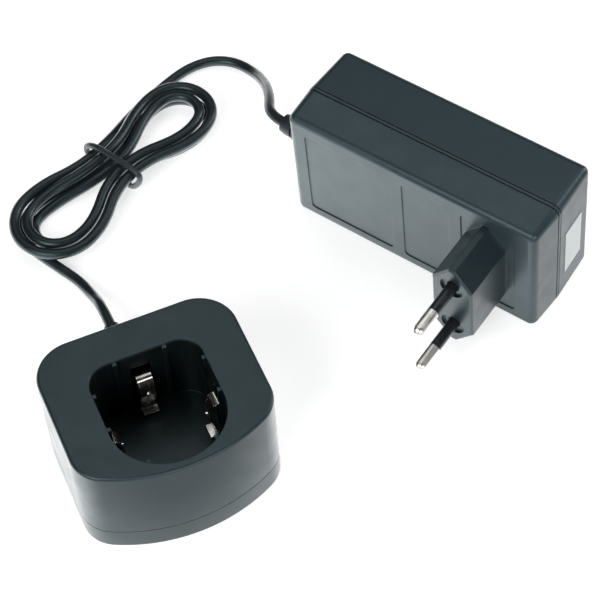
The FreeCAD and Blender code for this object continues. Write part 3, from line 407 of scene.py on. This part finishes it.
def board_green(name):
    """Solder mask with tracks that show through it."""
    m = Nodes(name)
    tracks = m.add("ShaderNodeTexVoronoi", feature="DISTANCE_TO_EDGE", distance="CHEBYCHEV")
    tracks.inputs["Scale"].default_value = 260.0
    m.join(m.place, tracks, "Vector")
    line_mask = m.ramp(tracks.outputs["Distance"], 1.0, 0.0, 0.02, 0.05)
    m.join(m.blend(line_mask, (0.012, 0.1, 0.045), (0.03, 0.2, 0.09)), m.shader, "Base Color")
    m.join(m.ramp(m.noise(300.0), 0.3, 0.42), m.shader, "Roughness")
    m.bump([(line_mask, 0.4, 0.03)])
    return m.material


def winding_copper(name):
    """Enamelled wire laid in rows."""
    m = Nodes(name)
    m.set(Metallic=0.9)
    rows = m.add("ShaderNodeTexWave", bands_direction="Z")
    rows.inputs["Scale"].default_value = 700.0
    rows.inputs["Distortion"].default_value = 0.6
    m.join(m.place, rows, "Vector")
    m.join(m.blend(rows.outputs["Fac"], (0.25, 0.08, 0.02), (0.62, 0.27, 0.1)), m.shader, "Base Color")
    m.join(m.ramp(rows.outputs["Fac"], 0.45, 0.28, 0.0, 1.0), m.shader, "Roughness")
    m.bump([(rows.outputs["Fac"], 0.8, 0.12)])
    return m.material


CRADLE = moulded(
    "cradle_plastic",
    (0.018, 0.028, 0.033),
    (0.022, 0.033, 0.038),
    0.36,
    2600.0,
    0.02,
    # Painted shade: the inside of the well is darker, where shade falls in it.
    darker=((well_shade, (0.0035, 0.006, 0.007)),),
)
COVER = moulded("base_plastic", (0.019, 0.028, 0.032), (0.023, 0.033, 0.037), 0.38, 2600.0, 0.02)
SHELL = moulded(
    "adapter_plastic",
    (0.023, 0.037, 0.044),
    (0.027, 0.042, 0.05),
    0.34,
    1500.0,
    0.03,
    # The second mask is painted shade: nearly black in the seam, the line beside it and on the panel walls,
    # where shadow falls in the grooves.
    darker=((on_plug, (0.015, 0.025, 0.03)), (groove_shade, (0.002, 0.003, 0.0035))),
)
VINYL = coated("cord_vinyl", (0.011, 0.016, 0.0185), (0.016, 0.022, 0.025), 0.34)
BOOT = coated("boot_vinyl", (0.016, 0.018, 0.02), (0.022, 0.025, 0.028), 0.42)
TIE_SKIN = coated("tie_vinyl", (0.02, 0.023, 0.025), (0.028, 0.032, 0.034), 0.4)
CONTACT = metal("contact_nickel", (0.8, 0.78, 0.74), (0.55, 0.52, 0.47), 0.2, 900.0, (1, 1, 0.1))
PIN = metal("pin_nickel", (0.9, 0.89, 0.86), (0.74, 0.72, 0.67), 0.34, 1200.0, (0.15, 0.3, 1))
SLEEVE = coated("sleeve_plastic", (0.014, 0.015, 0.017), (0.02, 0.022, 0.024), 0.3)
PLATE = simple("plate_film", (0.55, 0.6, 0.6), (0.63, 0.68, 0.68), 0.38, 300.0, depth=0.01)
BLACK = simple("package_black", (0.015, 0.015, 0.016), (0.03, 0.03, 0.031), 0.5, 700.0)
FERRITE = simple("ferrite_grey", (0.03, 0.03, 0.032), (0.06, 0.06, 0.06), 0.55, 900.0)
SLEEVED = simple("capacitor_skin", (0.012, 0.016, 0.04), (0.02, 0.026, 0.06), 0.25, 400.0)
FUSE = simple("fuse_skin", (0.4, 0.34, 0.24), (0.5, 0.44, 0.33), 0.3, 500.0)
CERAMIC = simple("ceramic_blue", (0.03, 0.12, 0.32), (0.05, 0.17, 0.42), 0.25, 500.0)
ALUMINIUM = simple("aluminium_sheet", (0.55, 0.55, 0.56), (0.68, 0.68, 0.69), 0.34, 600.0, 1.0)
ZINC = simple("zinc_screw", (0.45, 0.45, 0.44), (0.62, 0.61, 0.58), 0.3, 900.0, 1.0)
WIRE = simple("wire_red", (0.12, 0.015, 0.015), (0.18, 0.03, 0.03), 0.4, 600.0)
BOARD = board_green("board_mask")
COPPER = winding_copper("winding_enamel")

LOOKS = {
    CRADLE: ("cradle_housing",),
    COVER: ("base_cover",),
    SHELL: ("adapter_front_shell", "adapter_back_shell"),
    VINYL: ("cord",),
    BOOT: ("cradle_strain_relief", "adapter_strain_relief"),
    TIE_SKIN: ("tie",),
    CONTACT: ("contact_rear", "contact_left", "contact_right"),
    PIN: ("plug_pin_upper", "plug_pin_lower"),
    SLEEVE: ("pin_sleeve_upper", "pin_sleeve_lower"),
    PLATE: ("rating_plate",),
    BLACK: (
        "charge_controller",
        "bridge_rectifier",
        "switch_transistor",
        "optocoupler",
        "output_diode",
        "transformer_bobbin",
    ),
    FERRITE: ("cradle_inductor", "line_choke", "output_choke", "transformer_core"),
    SLEEVED: (
        "cradle_capacitor",
        "bulk_capacitor",
        "output_capacitor_left",
        "output_capacitor_right",
    ),
    FUSE: ("input_fuse",),
    CERAMIC: ("interference_capacitor",),
    ALUMINIUM: ("switch_heatsink", "output_heatsink"),
    ZINC: ("base_screws", "board_screws"),
    WIRE: ("cradle_leads", "mains_leads", "output_leads"),
    BOARD: ("cradle_board", "main_board"),
    COPPER: ("transformer_winding",),
}


def dress(thing, material):
    if thing.material_slots:
        for slot in thing.material_slots:
            slot.material = material
    else:
        thing.data.materials.append(material)


for material, names in LOOKS.items():
    for name in names:
        thing = frame["nodes"][name] if name in frame["nodes"] else objects[name]
        dress(thing if hasattr(thing, "data") else objects[thing], material)


# Floor and light


def floor_material():
    """White to the eye and in the metal, with the object's soft shadow on it."""
    m = Nodes("studio_white")
    m.set(Base_Color=(0.9, 0.9, 0.9, 1.0), Roughness=0.9)
    m.shader.inputs["Specular IOR Level"].default_value = 0.0
    glow = m.add("ShaderNodeEmission")
    glow.inputs["Color"].default_value = (1.0, 1.0, 1.0, 1.0)
    both = m.add("ShaderNodeAddShader")
    path = m.add("ShaderNodeLightPath")
    # In reflections the floor is brighter beside the cradle than in front of it or at the plug.
    spot = m.add("ShaderNodeSeparateXYZ")
    m.join(m.add("ShaderNodeNewGeometry").outputs["Position"], spot, "Vector")
    level = m.add("ShaderNodeMapRange")
    level.inputs["To Min"].default_value = 0.62
    m.join(path.outputs["Is Glossy Ray"], level, "Value")
    behind = m.ramp(spot.outputs["Y"], 0.1, 2.3, -0.04, -0.014)
    m.join(m.math("MULTIPLY", behind, m.ramp(spot.outputs["X"], 1.0, 0.35, 0.06, 0.12)), level, "To Max")
    m.join(level.outputs["Result"], glow, "Strength")
    seen = m.add("ShaderNodeMath", operation="MAXIMUM")
    m.join(path.outputs["Is Camera Ray"], seen, 0)
    m.join(path.outputs["Is Glossy Ray"], seen, 1)
    pick = m.add("ShaderNodeMixShader")
    m.join(m.shader.outputs["BSDF"], both, 0)
    m.join(glow.outputs["Emission"], both, 1)
    m.join(seen.outputs["Value"], pick, 0)
    m.join(m.shader.outputs["BSDF"], pick, 1)
    m.join(both.outputs["Shader"], pick, 2)
    m.join(pick.outputs["Shader"], m.tree.nodes["Material Output"], "Surface")
    return m.material


floor_mesh = bpy.data.meshes.new("floor")
FLOOR_REACH, FLOOR_LEVEL = 3.0, -0.0002
corners = [(x * FLOOR_REACH, y * FLOOR_REACH, FLOOR_LEVEL) for x, y in ((-1, -1), (1, -1), (1, 1), (-1, 1))]
floor_mesh.from_pydata(corners, [], [(0, 1, 2, 3)])
floor = objects.new("floor", floor_mesh)
bpy.context.scene.collection.objects.link(floor)
floor.data.materials.append(floor_material())


def lamp(name, place, aim, size, power):
    data = bpy.data.lights.new(name, "AREA")
    data.shape = "RECTANGLE"
    data.size, data.size_y = size
    data.energy = power
    made = objects.new(name, data)
    made.location = place
    made.rotation_mode = "QUATERNION"
    made.rotation_quaternion = (Vector(aim) - Vector(place)).to_track_quat("-Z", "Y")
    bpy.context.scene.collection.objects.link(made)
    return made


CENTRE = (0.05, 0.05, 0.02)
lamp("key_left", (-0.75, -0.45, 0.65), CENTRE, (0.7, 0.7), 7.5)
lamp("front_low", (0.15, -0.95, 0.35), CENTRE, (0.9, 0.4), 4.0)
lamp("over", (0.2, 0.35, 1.1), CENTRE, (0.9, 0.9), 3.0)
lamp("right_side", (1.0, 0.1, 0.5), CENTRE, (0.5, 0.6), 4.5)


def sky():
    """White, brighter towards the horizon than overhead."""
    world = bpy.data.worlds.new("studio")
    world.use_nodes = True
    nodes, links = world.node_tree.nodes, world.node_tree.links
    split = nodes.new("ShaderNodeSeparateXYZ")
    level = nodes.new("ShaderNodeMapRange")
    for key, number in (("From Min", 0.0), ("From Max", 0.8), ("To Min", 0.6), ("To Max", 0.2)):
        level.inputs[key].default_value = number
    links.new(nodes.new("ShaderNodeTexCoord").outputs["Generated"], split.inputs["Vector"])
    links.new(split.outputs["Z"], level.inputs["Value"])
    links.new(level.outputs["Result"], nodes["Background"].inputs["Strength"])
    return world


world = sky()
bpy.context.scene.world = world
bpy.context.scene.view_settings.view_transform = "Standard"
